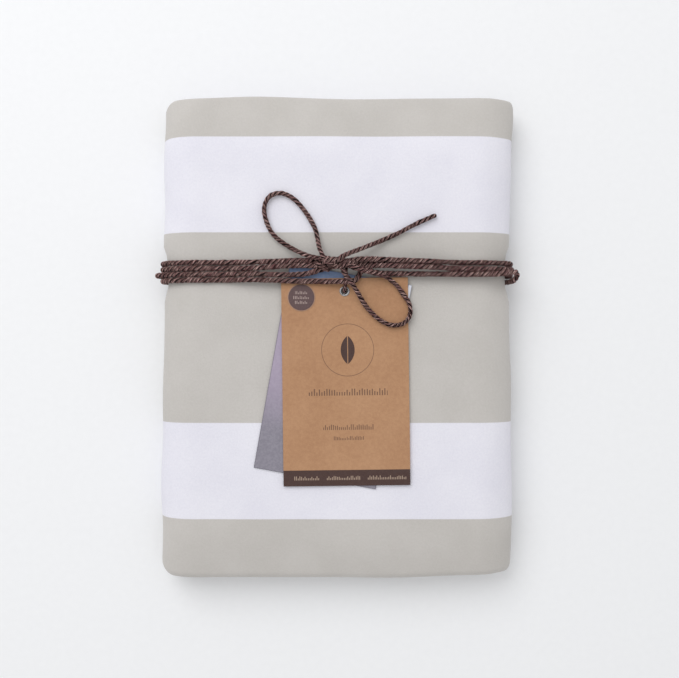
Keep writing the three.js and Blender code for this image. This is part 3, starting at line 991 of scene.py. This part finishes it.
def back_card_finish():
    """Smooth coated card printed with a soft picture of sky and sea, as plain colour bands."""
    card = Print("printed_card", tuple(hole), BACK_CARD_TURN, roughness=0.45)
    cloud = card.noise(0.022, detail=4)
    drift = card.times(card.minus(cloud, 0.5), 0.02)
    height = card.plus(card.y, drift)
    blue, lilac, grey = srgb(112, 138, 180), srgb(164, 151, 172), srgb(131, 127, 139)
    upper = card.mix(card.ramp(height, -0.022, 0.004), lilac, blue)
    picture = card.mix(card.ramp(height, -0.088, -0.045), grey, upper)
    grain = card.ramp(card.noise(0.0012, detail=3), 0.3, 0.7, 0.0, 0.12)
    picture = card.mix(grain, picture, srgb(205, 200, 212))
    half_wide, half_tall = BACK_CARD_WIDTH / 2, BACK_CARD_HEIGHT / 2
    across = card.minus(card.x, BACK_CARD_HOLE_OFFSET)
    # a pale margin along the upper part of the right side, and a thin dark line along the edges all
    # round
    right_side = card.ramp(across, half_wide - 0.0020, half_wide - 0.0018)
    margin = card.both(right_side, card.ramp(card.y, -0.040, -0.020))
    picture = card.mix(card.times(margin, 0.8), picture, srgb(232, 232, 238))
    edge_x = card.ramp(card.math("ABSOLUTE", across), half_wide - 0.0004, half_wide - 0.0002)
    off_y = card.off(card.y, BACK_CARD_HOLE_DROP - half_tall)
    edge_y = card.ramp(off_y, half_tall - 0.0004, half_tall - 0.0002)
    edge = card.times(card.either(edge_x, edge_y), 0.6)
    card.colour(card.mix(edge, picture, srgb(84, 82, 92)))
    card.roughness(card.ramp(cloud, 0, 1, 0.38, 0.55))
    card.bump((grain, 0.00003))
    return card.material


def sticker_finish(centre, radius):
    label = Print("paper_label", tuple(hole), FRONT_TAG_TURN, roughness=0.6)
    x, y = centre
    grain = label.ramp(label.noise(0.0009, detail=4), 0.3, 0.7)
    dark = label.mix(grain, srgb(84, 62, 63), srgb(96, 74, 74))
    rim = label.ramp(label.distance(x, y), radius - 0.00062, radius - 0.00050)
    words = label.either(*[
        label.ticks(x, y + row * 0.0027, half, 0.0017, 0.00090)
        for row, half in ((1, 0.0034), (0, 0.0045), (-1, 0.0036))
    ])
    printed = label.mix(label.times(words, 0.7), dark, srgb(196, 176, 168))
    label.colour(label.mix(rim, printed, srgb(168, 132, 108)))
    label.roughness(label.ramp(grain, 0, 1, 0.5, 0.68))
    label.bump((grain, 0.00002))
    return label.material


def metal_finish():
    metal = Finish("pressed_metal", metallic=1.0)
    brushed = metal.noise(0.0004, detail=3, roughness=0.7)
    metal.colour(metal.mix(metal.ramp(brushed, 0.3, 0.7), srgb(120, 119, 120), srgb(178, 177, 178)))
    metal.roughness(metal.ramp(brushed, 0.3, 0.7, 0.22, 0.36))
    metal.bump((brushed, 0.00001))
    return metal.material


# ------------------------------ cards, eyelet and sticker

LABEL_BEVEL = 0.00006
LABEL_RINGS = 6
EYELET_BORE = 0.00185  # radii
EYELET_FLANGE = 0.00285
EYELET_ROLL_STEPS = 14


def lathe(name, profile, centre, material, segments=72):
    """A closed profile of (radius, height) points, turned about an upright axis."""
    vertices, faces = [], []
    count = len(profile)
    for i in range(segments):
        angle = 2 * math.pi * i / segments
        for radius, height in profile:
            point = (radius * math.cos(angle), radius * math.sin(angle), height)
            vertices.append([a + b for a, b in zip(point, centre)])
        for j in range(count):
            k, after = (j + 1) % count, (i + 1) % segments
            faces.append((i * count + j, after * count + j, after * count + k, i * count + k))
    return link_mesh(name, vertices, faces, material)


def make_cards():
    kraft, printed = kraft_finish(), back_card_finish()
    for node, material in (("front_tag_card", kraft), ("back_card", printed)):
        card = frame["nodes"][node]
        card.data.materials.clear()
        card.data.materials.append(material)


def make_sticker():
    low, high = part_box("round_sticker")
    centre, radius, top = (low + high) / 2, (high.x - low.x) / 2, high.z - low.z
    # its middle in the front tag's own flat coordinates
    cosine, sine = math.cos(math.radians(FRONT_TAG_TURN)), math.sin(math.radians(FRONT_TAG_TURN))
    away = centre - hole
    flat = (away.x * cosine + away.y * sine, away.y * cosine - away.x * sine)
    innermost = 0.0001 * radius
    profile = [(innermost + radius * i / LABEL_RINGS, top) for i in range(LABEL_RINGS)]
    profile += [(radius - LABEL_BEVEL, top), (radius, top - LABEL_BEVEL), (radius, 0), (innermost, 0)]
    finish = sticker_finish(flat, radius)
    disc = lathe("round_sticker_label", profile, (centre.x, centre.y, low.z), finish)
    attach(disc, "front_tag")
    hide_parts("round_sticker")


def make_eyelet():
    """A tube through the card, with its rim rolled outwards over the card's face."""
    base, rim = eyelet_low.z, eyelet_high.z
    roll = (rim - front_tag_top) / 2
    middle = (EYELET_BORE + EYELET_FLANGE) / 2
    outside = EYELET_BORE + 0.0004
    profile = [(outside, 0), (outside, front_tag_top - base + 0.00005)]
    for i in range(EYELET_ROLL_STEPS + 1):
        angle = math.radians(-20 + 220 * i / EYELET_ROLL_STEPS)
        reach = middle + (EYELET_FLANGE - middle) * math.cos(angle)
        profile.append((reach, rim - base - roll + roll * math.sin(angle)))
    profile.append((EYELET_BORE, 0))
    ring = lathe("tag_eyelet_ring", profile, (hole.x, hole.y, base), metal_finish())
    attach(ring, "front_tag")
    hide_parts("tag_eyelet")


# ------------------------------ the tied cord

def make_wraps(material):
    """The turns round the bundle and the knot, which don't move against the towel."""
    over_knot = [
        (-0.0075, 0.0414, 0.0372), (-0.0052, 0.0424, 0.0386), (-0.0020, 0.0429, 0.0391),
        (0.0012, 0.0429, 0.0384), (0.0040, 0.0424, 0.0368), (0.0065, 0.0424, 0.0356),
        (0.0090, 0.0429, 0.0358),
    ]
    upper = over_knot + upper_turn() + [(-0.006, 0.0426, 0.0336), (-0.003, 0.0420, 0.0338)]
    hidden = [(0.003, 0.0405, 0.0340), (0.0075, 0.0404, 0.0335)]
    inner = hidden + inner_turn()
    below_end = [(0.0030, 0.0410, 0.0352), (0.0062, 0.0402, 0.0360)]
    double = below_end + double_turn() + [(-0.006, 0.0398, 0.0335), (-0.003, 0.0400, 0.0336)]
    string = tag_string() + [(0.0053, 0.0385, 0.0338)]
    for index, (name, route, diameter) in enumerate((
        ("cord_upper_turn", upper, CORD_DIAMETER),
        ("cord_inner_turn", inner, CORD_DIAMETER),
        ("cord_double_turn", double, CORD_DIAMETER),
        ("tag_string", string, STRING_DIAMETER),
    )):
        piece = cord_piece(name + "_rope", [twisted(route, diameter, seed=index)], material)
        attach(piece, "towel_bundle")
        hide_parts(name)
    collar = [
        (-0.0040, 0.0438, 0.0326), (-0.0080, 0.0441, 0.0336), (-0.0102, 0.0426, 0.0352),
        (-0.0100, 0.0407, 0.0367), (-0.0084, 0.0391, 0.0373), (-0.0060, 0.0381, 0.0366),
        (-0.0046, 0.0378, 0.0346), (-0.0045, 0.0384, 0.0330),
    ]
    core = [(-0.0050, 0.0408, 0.0356), (0.0, 0.0410, 0.0360), (0.0050, 0.0404, 0.0354)]
    lengths = [twisted(route, CORD_DIAMETER, seed=5 + i) for i, route in enumerate((collar, core))]
    knot = cord_piece("bow_knot_strands", lengths, material)
    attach(knot, "towel_bundle")
    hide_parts("bow_knot")


def make_bow(material):
    """The bow's two loops and its free end."""
    joints = {joint["child"]: joint for joint in frame["joints"]}
    upper = [
        (0.0010, 0.0410, 0.0344), (-0.0030, 0.0420, 0.0346), (-0.0070, 0.0432, 0.0356),
    ] + upper_loop() + [
        (-0.0074, 0.0444, 0.0376), (-0.0056, 0.0420, 0.0385), (-0.0034, 0.0400, 0.0386),
        (-0.0006, 0.0391, 0.0384), (0.0032, 0.0393, 0.0382), (0.0074, 0.0408, 0.0372),
        (0.0105, 0.0420, 0.0352),
    ]
    lower = [(0.0030, 0.0402, 0.0352), (0.0058, 0.0396, 0.0372)] + lower_loop() + [
        (0.0033, 0.0373, 0.0382), (0.0026, 0.0389, 0.0366), (0.0022, 0.0400, 0.0350),
    ]
    free = [
        (-0.0022, 0.0404, 0.0370), (0.0002, 0.0424, 0.0388), (0.0030, 0.0444, 0.0398),
        (0.0071, 0.0464, 0.0391),
    ] + free_end()
    for seed, name, body, route, outward, far_end in (
        (8, "bow_upper_loop", "upper_loop", upper, (-0.613, 0.79, 0), "object"),
        (9, "bow_lower_loop", "lower_loop", lower, (0, -1, 0), "object"),
        (10, "cord_free_end", "free_end", free, (0.905, 0.425, 0), "bare"),
    ):
        length = twisted(route, CORD_DIAMETER, seed, BOW_FULLNESS, bare_end=far_end == "bare")
        piece = cord_piece(name + "_rope", [length], material)
        pivot, outward = np.array(joints[body]["pos_m"]), np.array(outward)
        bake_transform(piece)
        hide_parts(name)


# ------------------------------ floor and light

FLOOR_REACH = 12.0


def make_floor():
    pale = Finish("pale_floor", roughness=0.95)
    pale.colour(pale.mix(pale.noise(0.004, detail=3), srgb(243, 244, 246), srgb(247, 248, 250)))
    corners = [(x * FLOOR_REACH, y * FLOOR_REACH, 0) for x, y in ((-1, -1), (1, -1), (1, 1), (-1, 1))]
    link_mesh("floor", corners, [(0, 1, 2, 3)], pale.material)


def area_light(name, location, target, size, power):
    data = bpy.data.lights.new(name, "AREA")
    data.shape, data.size, data.energy = "DISK", size, power
    light = bpy.data.objects.new(name, data)
    light.location = location
    way = Vector(target) - Vector(location)
    light.rotation_euler = way.to_track_quat("-Z", "Y").to_euler()
    bpy.context.scene.collection.objects.link(light)


def make_light():
    """A soft key from the top left, a broad wash from above and an even, pale room."""
    area_light("key", (-0.55, 0.90, 1.25), (0, 0, 0), 1.3, 11.0)
    area_light("wash", (0, 0, 5.0), (0, 0, 0), 8.0, 30.0)
    world = bpy.data.worlds.new("soft_room")
    world.use_nodes = True
    background = world.node_tree.nodes["Background"].inputs
    background["Strength"].default_value = 0.62
    background["Color"].default_value = (1.0, 1.0, 1.0, 1)
    bpy.context.scene.world = world
    bpy.context.scene.view_settings.view_transform = "Standard"


make_camera()
cord_material = cord_finish()
make_wraps(cord_material)
make_bow(cord_material)
make_towel(towel_finish())
make_cards()
make_sticker()
make_eyelet()
make_floor()
make_light()
